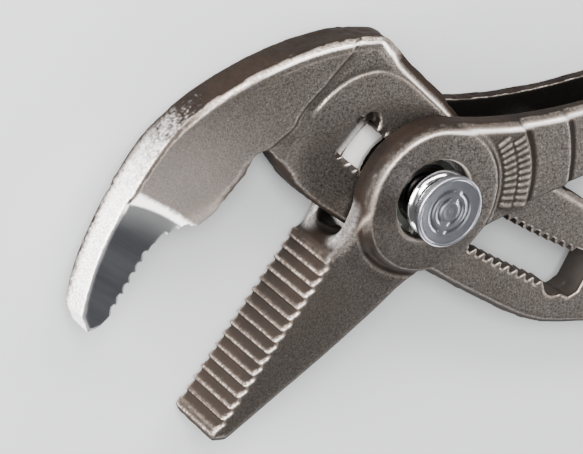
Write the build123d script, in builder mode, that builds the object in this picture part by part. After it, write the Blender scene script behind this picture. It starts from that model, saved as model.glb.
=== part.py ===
"""Adjustable box-joint pipe wrench, 400 mm class, with a push-button slot lock.

Frame: millimetres, +Z up. The tool lies on its side: the pivot axis is the
line X = Y = 0, +X runs to the handle ends, +Y to the upper handle and +Z to the
button. The far cheek's disc rests on Z = 0 and the mid-plane is Z = Z_MID.
"""
import os
from math import atan2, cos, hypot, radians, sin

from build123d import *

os.makedirs("parts", exist_ok=True)

# ---------------------------------------------------------------- dimensions
Z_MID = 12.0            # mid-plane above the resting face
ARM_HALF = 5.75         # half thickness of the slotted hook arm
CHEEK_IN = 6.05         # inner face of each cheek, from the mid-plane
DISC_TOP = 14.0         # near disc face, from the mid-plane
BAND_TOP = 12.7         # raised band beside the disc
TERRACE_TOP = 11.3      # next terrace towards the handle
FAR_DISC, FAR_BAND, FAR_TERRACE = 12.0, 11.2, 10.7    # the same on the flatter far side
JAW_TOP = 10.3          # lower jaw and cheek base
ROOT_TOP = 9.9          # cheek root where it meets the handle
CORE_HALF = 6.5         # half thickness of the upper handle core
DISC_R = 21.7
CHEEK_R = 21.9
BAND_R = 33.0
TERRACE_R = 47.0

SLOT_R = 400.0          # radius of the slot's centre line
SLOT_TAN = 28.3         # degrees, fall of the slot at the pivot
PITCH_DEG = 0.5         # one tooth, about the slot centre (3.49 mm)
TIP_HALF = 5.5          # slot half width at the tooth tips
ROOT_HALF = 7.0         # slot half width at the tooth roots
RELIEF_HALF = 7.4       # plain half width behind the teeth
TOOTH_FLOOR = -0.75     # teeth run from here to the near face
FIRST_TOOTH = -9        # tooth numbers counted from the rest position
LAST_TOOTH = 17
POS_MIN, POS_MAX = -3, 9
SLOT_LEFT, SLOT_RIGHT = -24.0, 73.2     # ends of the through slot, along its arc
RAMP_TOP = -33.6        # the left end slopes up from the through slot to here

BORE_R = 11.53          # cheek bore
JOURNAL_R = 11.50
STEM_R = 5.2
BUTTON_R = 10.25
NECK_R = 8.6            # plated neck under the button's cap
BUTTON_LOW, CAP_LOW, BUTTON_FACE = 15.0, 19.2, 21.5
PRESS = 6.0             # button travel

GRIP_HALF_W = 13.5
GRIP_HALF_T = 12.0
GRIP_START_X = 112.0
END_X = 302.6           # 400 mm from the hook's back edge at X = -97.4

SC = (SLOT_R * sin(radians(SLOT_TAN)), SLOT_R * cos(radians(SLOT_TAN)))
A0 = atan2(-SC[1], -SC[0])


def slot_pt(s, off):
    """Point at arc length s from the pivot, off towards the slot centre."""
    a = A0 + s / SLOT_R
    r = SLOT_R - off
    return (SC[0] + r * cos(a), SC[1] + r * sin(a))


def mid(z):
    return Plane.XY.offset(Z_MID + z)


def draw(*segments):
    """Draw line segments in the current line builder: s spline, l polyline, a arc."""
    for kind, pts in segments:
        if kind == "s":
            Spline(*pts)
        elif kind == "a":
            ThreePointArc(*pts)
        else:
            Polyline(*pts)


def saw(p0, p1, n, depth, lean, flat=0.12):
    """Saw-tooth polyline from p0 to p1; teeth cut to the left of the direction."""
    ux, uy = p1[0] - p0[0], p1[1] - p0[1]
    length = hypot(ux, uy)
    ux, uy = ux / length, uy / length
    nx, ny = -uy, ux
    step = length / n
    out = [p0]
    for i in range(n):
        base = i * step
        for t, d in ((lean, depth), (lean + flat, depth), (1.0 - flat, 0.0), (1.0, 0.0)):
            s = base + t * step
            out.append((p0[0] + ux * s + nx * d, p0[1] + uy * s + ny * d))
    out[-1] = p1
    return out


def handle_arc(p0, pm, p1, off):
    """Three points of an arc parallel to the one through p0, pm, p1."""
    ax, ay = p0
    bx, by = pm
    cx, cy = p1
    d = 2 * (ax * (by - cy) + bx * (cy - ay) + cx * (ay - by))
    ox = ((ax**2 + ay**2) * (by - cy) + (bx**2 + by**2) * (cy - ay) + (cx**2 + cy**2) * (ay - by)) / d
    oy = ((ax**2 + ay**2) * (cx - bx) + (bx**2 + by**2) * (ax - cx) + (cx**2 + cy**2) * (bx - ax)) / d
    r = hypot(ax - ox, ay - oy)
    up = 1.0 if oy < ay else -1.0       # +off is always towards +Y
    return [
        (ox + (x - ox) * (r + up * off) / r, oy + (y - oy) * (r + up * off) / r)
        for x, y in (p0, pm, p1)
    ]


# handle centre lines: start, middle, end of the core
LOWER_MID = ((104.0, -32.3), (200.0, -38.6), (297.0, -37.5))
UPPER_MID = ((104.0, 32.2), (200.0, 52.6), (297.0, 62.5))
LOWER_CORE, UPPER_CORE = 9.6, 9.4
lo_top = handle_arc(*LOWER_MID, LOWER_CORE)
lo_bot = handle_arc(*LOWER_MID, -LOWER_CORE)
up_top = handle_arc(*UPPER_MID, UPPER_CORE)
up_bot = handle_arc(*UPPER_MID, -UPPER_CORE)

# ------------------------------------------------------------ hook jaw arm
TIP_OUT = (-97.4, -35.6)
HEAD = (-25.0, 43.4)
V_IN = (-80.4, -15.4)           # recess at the bottom of the toothed V
outer = [TIP_OUT, (-97.3, -29.5), (-96.9, -24.0), (-95.9, -18.0), (-94.4, -12.0), (-92.5, -6.0),
         (-90.5, -0.2), (-88.1, 5.6), (-85.1, 11.4), (-81.6, 16.5), (-77.2, 21.0), (-71.0, 26.1),
         (-64.0, 30.7), (-56.0, 35.1), (-48.0, 38.6), (-40.0, 41.2), (-32.0, 42.9), HEAD]
slope = [(-21.6, 42.0), (-12.0, 35.4), (-2.0, 28.5), (6.0, 23.1), slot_pt(6, 21.4), slot_pt(18, 21.0),
         slot_pt(30, 21.0), slot_pt(44, 21.0), slot_pt(56, 20.6), (70.0, -9.6), (81.0, -15.6),
         (92.0, -20.3), lo_top[0]]
under = [lo_bot[0], (90.0, -42.8), (76.0, -43.4), (64.0, -43.3), (56.0, -42.9), slot_pt(60, -18.0),
         slot_pt(45, -18.0), slot_pt(30, -18.0), slot_pt(15, -18.0), slot_pt(2, -18.4),
         slot_pt(-10, -19.2), slot_pt(-20, -19.9), slot_pt(-29, -20.3), (-41.2, 1.4), (-45.4, 5.1),
         (-48.9, 9.0)]
notch = [(-48.9, 9.0), (-50.8, 10.6), (-53.0, 10.9), (-55.2, 9.8), (-56.6, 7.8), (-57.4, 5.0),
         (-58.9, 2.4), (-60.8, -0.2), (-63.0, -3.2), (-65.6, -6.6), (-68.4, -8.9), (-70.4, -9.9)]
JAW_LOW = (-88.6, -35.6)

with BuildPart() as hook_jaw_arm:
    with BuildSketch(mid(-ARM_HALF)):
        with BuildLine():
            draw(("s", outer), ("a", [HEAD, (-23.0, 43.0), (-21.6, 42.0)]), ("s", slope),
                 ("a", lo_top), ("a", [lo_top[2], (301.0 - 1.2, LOWER_MID[2][1]), lo_bot[2]]),
                 ("a", [lo_bot[2], lo_bot[1], lo_bot[0]]), ("s", under), ("s", notch),
                 ("l", [(-70.4, -9.9), V_IN, JAW_LOW, (-91.2, -39.2), (-94.2, -40.5), TIP_OUT]))
        make_face()
    extrude(amount=2 * ARM_HALF)

    # shallow valley between the hook web and the slot boss, both faces
    for side in (1, -1):
        with BuildSketch(mid(side * ARM_HALF)) as valley:
            with BuildLine():
                draw(("s", [(-29.0, 45.0), (-33.2, 39.6), (-37.4, 34.2), (-41.0, 28.6), (-43.8, 22.8),
                            (-46.2, 18.8), (-49.2, 14.8), (-53.4, 10.0)]),
                     ("l", [(-53.4, 10.0), (-47.0, 2.0)]),
                     ("s", [(-47.0, 2.0), (-44.4, 9.0), (-42.4, 16.0), (-39.6, 22.4), (-35.6, 27.6),
                            (-30.0, 31.8), (-24.0, 33.8), (-18.0, 33.7), (-12.6, 31.7), (-7.0, 28.3),
                            (0.0, 23.6), (8.0, 18.0)]),
                     ("l", [(8.0, 18.0), (20.0, 24.0), (0.0, 48.0), (-29.0, 45.0)]))
            make_face()
        extrude(amount=-side * 0.8, taper=0, mode=Mode.SUBTRACT)

    # ground flanks of the jaw tip, both faces
    for side in (1, -1):
        with BuildSketch(mid(side * ARM_HALF)):
            with BuildLine():
                draw(("a", [(-104.0, -0.6), (-85.0, -2.4), (-66.0, -12.6)]),
                     ("l", [(-66.0, -12.6), (-66.0, -60.0), (-120.0, -60.0), (-120.0, -0.6), (-104.0, -0.6)]))
            make_face()
        extrude(amount=-side * 1.0, taper=55, mode=Mode.SUBTRACT)

    # gripping teeth: short upper leg and long lower leg of the V
    for p0, p1, n, lean in (((-70.4, -9.9), (-79.6, -14.3), 3, 0.12), ((-81.2, -17.3), JAW_LOW, 6, 0.12)):
        with BuildSketch(mid(-ARM_HALF - 1)):
            with BuildLine():
                path = saw(p0, p1, n, -1.15, lean)
                dx, dy = (p1[1] - p0[1]), -(p1[0] - p0[0])
                k = -3.0 / hypot(dx, dy)
                Polyline(*path, (p1[0] + dx * k, p1[1] + dy * k), (p0[0] + dx * k, p0[1] + dy * k), close=True)
            make_face()
        extrude(amount=2 * ARM_HALF + 2, mode=Mode.SUBTRACT)

    # plain slot through the far half, toothed slot through the near half
    with BuildSketch(mid(-ARM_HALF - 1)):
        with BuildLine():
            draw(("a", [slot_pt(SLOT_LEFT + 1.2, -RELIEF_HALF), slot_pt(20, -RELIEF_HALF),
                        slot_pt(SLOT_RIGHT - 2.3, -RELIEF_HALF)]),
                 ("l", [slot_pt(SLOT_RIGHT - 2.3, -RELIEF_HALF), slot_pt(SLOT_RIGHT, -4.0), slot_pt(SLOT_RIGHT, 4.0),
                        slot_pt(SLOT_RIGHT - 2.3, RELIEF_HALF)]),
                 ("a", [slot_pt(SLOT_RIGHT - 2.3, RELIEF_HALF), slot_pt(20, RELIEF_HALF),
                        slot_pt(SLOT_LEFT + 1.2, RELIEF_HALF)]),
                 ("a", [slot_pt(SLOT_LEFT + 1.2, RELIEF_HALF), slot_pt(SLOT_LEFT, 0.6), slot_pt(SLOT_LEFT + 1.2, -RELIEF_HALF)]))
        make_face()
    extrude(amount=ARM_HALF + 1 + TOOTH_FLOOR, mode=Mode.SUBTRACT)

    step = SLOT_R * radians(PITCH_DEG)
    lower, upper = [], []
    for i in range(FIRST_TOOTH, LAST_TOOTH + 2):
        b = i * step
        if i < LAST_TOOTH:
            lower += [slot_pt(b + 0.15 * step, -ROOT_HALF), slot_pt(b + 0.50 * step, -ROOT_HALF),
                      slot_pt(b + 0.80 * step, -TIP_HALF), slot_pt(b + 1.02 * step, -TIP_HALF)]
        upper += [slot_pt(b - 0.15 * step, ROOT_HALF), slot_pt(b - 0.02 * step, TIP_HALF),
                  slot_pt(b + 0.20 * step, TIP_HALF), slot_pt(b + 0.50 * step, ROOT_HALF)]
    s_left = FIRST_TOOTH * step
    with BuildPart(mode=Mode.PRIVATE) as toothed_slot:
        with BuildSketch(mid(TOOTH_FLOOR)):
            with BuildLine():
                Polyline(slot_pt(-31.6, -5.2), *lower, slot_pt(61.0, -ROOT_HALF), slot_pt(SLOT_RIGHT - 2.0, -ROOT_HALF),
                         slot_pt(SLOT_RIGHT, -4.6), slot_pt(SLOT_RIGHT, 4.6), slot_pt(SLOT_RIGHT - 2.0, ROOT_HALF),
                         *reversed(upper), slot_pt(s_left - 0.6, ROOT_HALF), slot_pt(-32.0, 6.4))
                ThreePointArc(slot_pt(-32.0, 6.4), slot_pt(RAMP_TOP, 0.6), slot_pt(-31.6, -5.2))
            make_face()
        extrude(amount=ARM_HALF + 1 - TOOTH_FLOOR)
        # sloping floor at the left end
        x0, y0 = slot_pt(SLOT_LEFT, 0)
        across = Vector(SC[0] - x0, SC[1] - y0, 0).normalized()
        along = Vector(0, 0, 1).cross(across) * -1
        with BuildSketch(Plane(origin=(x0, y0, Z_MID), x_dir=along, z_dir=along.cross(Vector(0, 0, 1)))):
            with BuildLine():
                Polyline((0, TOOTH_FLOOR), (0.3, -20), (-40, -20), (-40, ARM_HALF + 0.6), (RAMP_TOP - SLOT_LEFT - 1.0, ARM_HALF + 0.6),
                         close=True)
            make_face()
        extrude(amount=30, both=True, mode=Mode.SUBTRACT)
    add(toothed_slot.part, mode=Mode.SUBTRACT)

    # blind pocket above the first upper tooth
    px, py = slot_pt(-28.2, 6.2)
    with Locations(mid(2.6) * Pos(px, py, 0)):
        Cylinder(3.1, 6.0, align=(Align.CENTER, Align.CENTER, Align.MIN), mode=Mode.SUBTRACT)

    # round pocket below the last lower tooth
    with Locations(mid(0) * Pos(57.6, -29.4, 0)):
        Cylinder(4.7, 4 * ARM_HALF, mode=Mode.SUBTRACT)

hook_jaw_arm.part.label = "hook_jaw_arm"
export_step(hook_jaw_arm.part, "parts/hook_jaw_arm.step")
print("hook", hook_jaw_arm.part.volume, len(hook_jaw_arm.solids()), hook_jaw_arm.part.bounding_box())

# ------------------------------------------------------------- box jaw arm
def polar(r, deg):
    return (r * cos(radians(deg)), r * sin(radians(deg)))


NOSE = (-27.4, -18.4)
JAW_TIP = (-52.0, -70.0)
top_edge = [up_top[0], (90.0, 38.2), (76.0, 34.2), (62.0, 30.2), (50.0, 27.0), (40.0, 24.7), (30.0, 23.0),
            (20.0, 21.9), (10.0, 21.6), polar(CHEEK_R, 86)]
nose_edge = [polar(CHEEK_R, 188), (-22.6, -6.4), (-23.4, -9.8), (-24.6, -13.2), (-26.0, -16.0), NOSE]
back_edge = [(-46.2, -72.4), (-38.5, -65.2), (-28.0, -55.4), (-18.0, -46.0), (-9.0, -36.9), (-3.0, -30.4),
             polar(CHEEK_R, -78)]
low_edge = [polar(CHEEK_R, -28), (23.5, -7.8), (28.0, -5.8), (36.0, -2.3), (46.0, 1.8), (60.0, 7.2),
            (75.0, 13.0), (90.0, 18.5), up_bot[0]]

with BuildSketch() as box_outline:
    with BuildLine():
        draw(("s", top_edge), ("a", [polar(CHEEK_R, 86), polar(CHEEK_R, 137), polar(CHEEK_R, 188)]),
             ("s", nose_edge), ("l", [NOSE, JAW_TIP, (-50.4, -72.6), (-46.2, -72.4)]), ("s", back_edge),
             ("a", [polar(CHEEK_R, -78), polar(CHEEK_R, -53), polar(CHEEK_R, -28)]), ("s", low_edge),
             ("a", up_bot), ("a", [up_bot[2], (299.8, 62.6), up_top[2]]), ("a", [up_top[2], up_top[1], up_top[0]]))
    make_face()

with BuildPart() as box_jaw_arm:
    with BuildSketch(mid(-JAW_TOP)):
        add(box_outline.sketch)
    extrude(amount=2 * JAW_TOP)

    # cheek levels step down from the disc towards the handle, on both faces
    for side in (1, -1):
        terrace, band = (TERRACE_TOP, BAND_TOP) if side > 0 else (FAR_TERRACE, FAR_BAND)
        for radius, top in ((TERRACE_R, terrace), (BAND_R, band)):
            with BuildSketch(mid(side * JAW_TOP)):
                add(box_outline.sketch)
                Circle(radius, mode=Mode.INTERSECT)
            extrude(amount=side * (top - JAW_TOP))

    # jaw flanks fall away from the disc to the jaw's own width
    jaw_dir = Vector(-0.44, -0.898, 0)
    for side in (1, -1):
        with BuildSketch(Plane(origin=(0, 0, Z_MID), x_dir=jaw_dir, z_dir=jaw_dir.cross(Vector(0, 0, 1)))):
            with BuildLine():
                Polyline((13.0, side * 13.2), (26.0, side * JAW_TOP), (110.0, side * JAW_TOP), (110.0, side * 20.0),
                         (13.0, side * 20.0), close=True)
            make_face()
        extrude(amount=120, both=True, mode=Mode.SUBTRACT)
        # handle root falls away to the core thickness
        with BuildSketch(Plane(origin=(0, 0, Z_MID), x_dir=(1, 0, 0), z_dir=(0, -1, 0))):
            with BuildLine():
                Polyline((74.0, side * (JAW_TOP + 0.01)), (103.0, side * CORE_HALF), (320.0, side * CORE_HALF),
                         (320.0, side * 20.0), (74.0, side * 20.0), close=True)
            make_face()
        extrude(amount=120, both=True, mode=Mode.SUBTRACT)

    # raised discs round the pivot
    for side in (1, -1):
        with BuildPart(mode=Mode.PRIVATE) as disc:
            with BuildSketch(mid(side * CHEEK_IN)):
                Circle(DISC_R)
            extrude(amount=side * ((DISC_TOP if side > 0 else FAR_DISC) - CHEEK_IN))
            rim_edges = disc.edges().filter_by(GeomType.CIRCLE).sort_by(Axis.Z)
            chamfer(rim_edges[-1] if side > 0 else rim_edges[0], length=1.2)
        add(disc.part)

    # generic raised ribs on the near band
    with BuildSketch(mid(BAND_TOP - 0.2)):
        for radius, first in ((25.4, -4.5), (30.0, -3.5)):
            for k in range(11):
                ang = first + k * 4.5 * 25.4 / radius
                with Locations(Location((*polar(radius, ang), 0), (0, 0, ang))):
                    Rectangle(3.6, 0.9)
    extrude(amount=0.2 + 0.55)

    # window for the slotted arm
    with BuildSketch(mid(-CHEEK_IN)):
        with BuildLine():
            Polyline((-70.0, 70.0), (70.0, 70.0), (66.0, 36.0), (62.0, 10.0), (62.0, -70.0), (23.0, -70.0),
                     (-8.2, -24.4), (-14.0, -16.4), (-18.0, -15.0), (-27.9, -11.0), (-38.0, -6.8), (-70.0, 6.6), close=True)
        make_face()
    extrude(amount=2 * CHEEK_IN, mode=Mode.SUBTRACT)

    # gripping teeth of the lower jaw
    p0, p1 = (-28.05, -19.77), (-51.35, -68.63)
    with BuildSketch(mid(-20)):
        with BuildLine():
            path = saw(p0, p1, 15, 1.2, 0.12)
            dx, dy = (p1[1] - p0[1]), -(p1[0] - p0[0])
            k = 3.0 / hypot(dx, dy)
            Polyline(*path, (p1[0] + dx * k, p1[1] + dy * k), (p0[0] + dx * k, p0[1] + dy * k), close=True)
        make_face()
    extrude(amount=40, mode=Mode.SUBTRACT)

    # bores, ring groove and rear counterbore
    with Locations(mid(0)):
        Cylinder(BORE_R, 60, mode=Mode.SUBTRACT)
    with BuildSketch(mid(DISC_TOP - 0.9)):
        Circle(BORE_R)
    extrude(amount=1.0, taper=-45, mode=Mode.SUBTRACT)
    with BuildSketch(mid(8.8)):
        Circle(12.7)
    extrude(amount=1.0, mode=Mode.SUBTRACT)
    with BuildSketch(mid(-FAR_DISC - 1)):
        Circle(13.65)
    extrude(amount=1 + 2.2, mode=Mode.SUBTRACT)

box_jaw_arm.part.label = "box_jaw_arm"
export_step(box_jaw_arm.part, "parts/box_jaw_arm.step")
print("box", box_jaw_arm.part.volume, len(box_jaw_arm.solids()), box_jaw_arm.part.is_valid, box_jaw_arm.part.bounding_box())

# ------------------------------------------------------ hinge bolt and rear disc
with BuildPart() as hinge_bolt:
    with BuildSketch(mid(-CHEEK_IN)):
        for sgn in (1, -1):
            with BuildLine():
                Polyline(slot_pt(sgn * 5.35, -5.1), slot_pt(sgn * 12, -5.1), slot_pt(sgn * 12, 5.1), slot_pt(sgn * 5.35, 5.1),
                         close=True)
            make_face()
        Circle(10.4, mode=Mode.INTERSECT)
    extrude(amount=2 * CHEEK_IN + 0.5)
    with BuildSketch(mid(CHEEK_IN)):
        Circle(JOURNAL_R)
        Circle(8.6, mode=Mode.SUBTRACT)
    extrude(amount=8.7 - CHEEK_IN)
    with BuildSketch(mid(CHEEK_IN)):
        Circle(8.6)
    extrude(amount=3, mode=Mode.SUBTRACT)
    with BuildSketch(mid(7.25)):
        Circle(9.4)
    extrude(amount=0.9, mode=Mode.SUBTRACT)
    for sgn in (1, -1):
        x, y = slot_pt(sgn * 7.9, 0)
        with BuildSketch(mid(-CHEEK_IN)):
            with Locations((x, y)):
                Circle(1.25)
        extrude(amount=9.0, mode=Mode.SUBTRACT)
hinge_bolt.part.label = "hinge_bolt"
export_step(hinge_bolt.part, "parts/hinge_bolt.step")

with BuildPart() as rear_disc:
    with BuildSketch(mid(-FAR_DISC)):
        Circle(13.5)
    extrude(amount=2.1)
    with BuildSketch(mid(-FAR_DISC + 1)):
        Circle(JOURNAL_R)
    extrude(amount=FAR_DISC - 1 - CHEEK_IN)
    edge = rear_disc.edges().filter_by(GeomType.CIRCLE).sort_by(Axis.Z)[0]
    chamfer(edge, length=0.5)
    with BuildSketch(mid(-10.6)):
        Circle(4.3)
    extrude(amount=12, mode=Mode.SUBTRACT)
    for sgn in (1, -1):
        x, y = slot_pt(sgn * 7.9, 0)
        with BuildSketch(mid(-FAR_DISC)):
            with Locations((x, y)):
                Circle(1.3)
        extrude(amount=12, mode=Mode.SUBTRACT)
        with BuildSketch(mid(-FAR_DISC)):
            with Locations((x, y)):
                Circle(2.5)
        extrude(amount=2.4, mode=Mode.SUBTRACT)
rear_disc.part.label = "rear_disc"
export_step(rear_disc.part, "parts/rear_disc.step")

with BuildPart() as rear_screw:
    for sgn in (1, -1):
        x, y = slot_pt(sgn * 7.9, 0)
        with BuildSketch(mid(-FAR_DISC + 0.2)):
            with Locations((x, y)):
                Circle(2.4)
        extrude(amount=2.2)
        with BuildSketch(mid(-FAR_DISC + 2.4)):
            with Locations((x, y)):
                Circle(1.23)
        extrude(amount=11.6)
        with BuildSketch(mid(-FAR_DISC + 0.2)):
            with Locations((x, y)):
                RegularPolygon(1.25, 6)
        extrude(amount=1.2, mode=Mode.SUBTRACT)
rear_screw.part.label = "rear_screw"
export_step(rear_screw.part, "parts/rear_screw.step")

# -------------------------------------------------- lock, stem, button, spring
LOCK_LOW, LOCK_TEETH, LOCK_TOP = 0.6, 5.0, 6.2
LOCK_HALF = 5.1
c = 0.2
lock_lower, lock_upper = [], []
for i in range(-2, 2):
    b = i * step
    lock_lower += [slot_pt(b + 0.02 * step + c, -TIP_HALF + c), slot_pt(b + 0.15 * step + c, -ROOT_HALF + c),
                   slot_pt(b + 0.50 * step - 0.15, -ROOT_HALF + c), slot_pt(b + 0.80 * step - c, -TIP_HALF + c)]
    lock_upper += [slot_pt(b + 0.20 * step + c, TIP_HALF - c), slot_pt(b + 0.50 * step + 0.15, ROOT_HALF - c),
                   slot_pt(b + 0.85 * step - c, ROOT_HALF - c), slot_pt(b + 0.98 * step - c, TIP_HALF - c)]
with BuildPart() as toothed_lock:
    with BuildSketch(mid(LOCK_LOW)):
        with BuildLine():
            Polyline(*lock_lower, *reversed(lock_upper), close=True)
        make_face()
        with BuildLine():
            Polyline(slot_pt(-LOCK_HALF, -9), slot_pt(LOCK_HALF, -9), slot_pt(LOCK_HALF, 9), slot_pt(-LOCK_HALF, 9), close=True)
        make_face(mode=Mode.INTERSECT)
    extrude(amount=LOCK_TEETH - LOCK_LOW)
    with BuildSketch(mid(LOCK_LOW)):
        with BuildLine():
            Polyline(slot_pt(-LOCK_HALF, -5.2), slot_pt(LOCK_HALF, -5.2), slot_pt(LOCK_HALF, 5.2), slot_pt(-LOCK_HALF, 5.2), close=True)
        make_face()
    extrude(amount=LOCK_TOP - LOCK_LOW)
    with BuildSketch(mid(LOCK_LOW)):
        Circle(4.3)
    extrude(amount=1.4, mode=Mode.SUBTRACT)
    with BuildSketch(mid(LOCK_LOW)):
        Circle(3.05)
    extrude(amount=10, mode=Mode.SUBTRACT)
toothed_lock.part.label = "toothed_lock"
export_step(toothed_lock.part, "parts/toothed_lock.step")

with BuildPart() as button_stem:
    with BuildSketch(mid(LOCK_TOP)):
        Circle(STEM_R)
    extrude(amount=BUTTON_LOW - LOCK_TOP)
    with BuildSketch(mid(2.6)):
        Circle(3.0)
    extrude(amount=LOCK_TOP - 2.6)
    with BuildSketch(mid(BUTTON_LOW)):
        Circle(3.0)
    extrude(amount=2.8)
    # relief groove on the stem
    with BuildSketch(mid(11.2)):
        Circle(STEM_R + 1)
        Circle(STEM_R - 0.7, mode=Mode.SUBTRACT)
    extrude(amount=1.2, mode=Mode.SUBTRACT)
button_stem.part.label = "button_stem"
export_step(button_stem.part, "parts/button_stem.step")

with BuildPart() as push_button:
    with BuildSketch(mid(CAP_LOW)):
        Circle(BUTTON_R)
    extrude(amount=BUTTON_FACE - CAP_LOW)
    ends = push_button.edges().filter_by(GeomType.CIRCLE).sort_by(Axis.Z)
    chamfer(ends[-1], length=0.5)
    chamfer(push_button.edges().filter_by(GeomType.CIRCLE).sort_by(Axis.Z)[0], length=0.5)
    with BuildSketch(mid(BUTTON_LOW)):
        Circle(NECK_R)
    extrude(amount=CAP_LOW - BUTTON_LOW)
    chamfer(push_button.edges().filter_by(GeomType.CIRCLE).sort_by(Axis.Z)[0], length=0.6)
    # dished face with two broken ring grooves round a centre boss
    with BuildSketch(mid(BUTTON_FACE - 0.3)):
        Circle(9.2)
    extrude(amount=1, mode=Mode.SUBTRACT)
    for r_in, r_out, depth, turn in ((5.7, 6.9, 0.9, 79.0), (2.9, 4.3, 0.9, 79.0)):
        with BuildSketch(mid(BUTTON_FACE - depth)):
            Circle(r_out)
            Circle(r_in, mode=Mode.SUBTRACT)
            with Locations(Location((0, 0, 0), (0, 0, turn))):
                Rectangle(30, 2.6, mode=Mode.SUBTRACT)
        extrude(amount=2, mode=Mode.SUBTRACT)
    with BuildSketch(mid(BUTTON_LOW - 1)):
        Circle(3.03)
    extrude(amount=1 + 3.0, mode=Mode.SUBTRACT)
push_button.part.label = "push_button"
export_step(push_button.part, "parts/push_button.step")

SPRING_LOW, SPRING_HIGH, WIRE_R, SPRING_R = -10.55, 1.95, 0.45, 3.6
with BuildPart() as return_spring:
    with BuildLine():
        coil = Helix(pitch=(SPRING_HIGH - SPRING_LOW - 2 * WIRE_R) / 5.0, height=SPRING_HIGH - SPRING_LOW - 2 * WIRE_R,
                     radius=SPRING_R, center=(0, 0, Z_MID + SPRING_LOW + WIRE_R))
    with BuildSketch(Plane(origin=coil @ 0, z_dir=coil % 0)):
        Circle(WIRE_R)
    sweep(path=coil, is_frenet=True)
return_spring.part.label = "return_spring"
export_step(return_spring.part, "parts/return_spring.step")

# ------------------------------------------------------------ rings and washer
with BuildPart() as stop_washer:
    with BuildSketch(mid(6.3)):
        Circle(8.5)
        Circle(5.5, mode=Mode.SUBTRACT)
    extrude(amount=0.95)
stop_washer.part.label = "stop_washer"
export_step(stop_washer.part, "parts/stop_washer.step")

with BuildPart() as stop_ring:
    with BuildSketch(mid(7.3)):
        Circle(9.3)
        Circle(7.4, mode=Mode.SUBTRACT)
        with Locations(Location((*polar(8.0, 200), 0), (0, 0, 200))):
            Rectangle(8, 4.0, mode=Mode.SUBTRACT)
    extrude(amount=0.8)
stop_ring.part.label = "stop_ring"
export_step(stop_ring.part, "parts/stop_ring.step")

with BuildPart() as front_ring:
    with BuildSketch(mid(8.85)):
        Circle(12.6)
        Circle(10.5, mode=Mode.SUBTRACT)
        with Locations(Location((*polar(11.5, 250), 0), (0, 0, 250))):
            Rectangle(8, 5.0, mode=Mode.SUBTRACT)
    extrude(amount=0.9)
front_ring.part.label = "front_ring"
export_step(front_ring.part, "parts/front_ring.step")


# ----------------------------------------------------------------- grip sleeves
def circle_of(p0, pm, p1):
    ax, ay = p0
    bx, by = pm
    cx, cy = p1
    d = 2 * (ax * (by - cy) + bx * (cy - ay) + cx * (ay - by))
    ox = ((ax**2 + ay**2) * (by - cy) + (bx**2 + by**2) * (cy - ay) + (cx**2 + cy**2) * (ay - by)) / d
    oy = ((ax**2 + ay**2) * (cx - bx) + (bx**2 + by**2) * (ax - cx) + (cx**2 + cy**2) * (bx - ax)) / d
    return ox, oy, hypot(ax - ox, ay - oy)


def grip_arc(line, off):
    """Arc at a distance from a handle centre line, from GRIP_START_X to the end."""
    ox, oy, r = circle_of(*line)
    sgn = 1.0 if line[1][1] > oy else -1.0
    pts = []
    for x in (GRIP_START_X, 205.0, 296.0):
        y = oy + sgn * (r * r - (x - ox) ** 2) ** 0.5
        nx, ny = (x - ox) / r * sgn, (y - oy) / r * sgn
        pts.append((x + nx * off, y + ny * off))
    return pts


def grip(line, end_y):
    top, bot = grip_arc(line, GRIP_HALF_W), grip_arc(line, -GRIP_HALF_W)
    with BuildSketch(mid(-GRIP_HALF_T)) as face:
        with BuildLine():
            ThreePointArc(*top)
            ThreePointArc(top[2], (END_X, end_y), bot[2])
            ThreePointArc(bot[2], bot[1], bot[0])
            Line(bot[0], top[0])
        make_face()
        fillet(face.vertices(), radius=8.5)
    return face.sketch


for line, arm, name, end_y in ((LOWER_MID, hook_jaw_arm, "lower_grip", -37.5), (UPPER_MID, box_jaw_arm, "upper_grip", 62.8)):
    with BuildPart() as sleeve:
        with BuildSketch(mid(-GRIP_HALF_T)):
            add(grip(line, end_y).moved(Location((0, 0, -(Z_MID - GRIP_HALF_T)))))
        extrude(amount=2 * GRIP_HALF_T)
        fillet([e for e in sleeve.edges() if abs(abs(e.center().Z - Z_MID) - GRIP_HALF_T) < 1e-3], radius=8.0)
        add(arm.part, mode=Mode.SUBTRACT)
    sleeve.part.label = name
    export_step(sleeve.part, f"parts/{name}.step")
    print(name, sleeve.part.volume, len(sleeve.solids()), sleeve.part.is_valid, sleeve.part.bounding_box())

for p in (hinge_bolt, rear_disc, rear_screw, toothed_lock, button_stem, push_button, return_spring, stop_washer, stop_ring, front_ring):
    bb = p.part.bounding_box()
    print(p.part.label, round(p.part.volume, 2), len(p.solids()), p.part.is_valid, bb.min, bb.max)
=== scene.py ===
import math

import bmesh
import bpy
import numpy as np
from mathutils import Matrix, Vector
from mathutils.bvhtree import BVHTree


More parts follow.
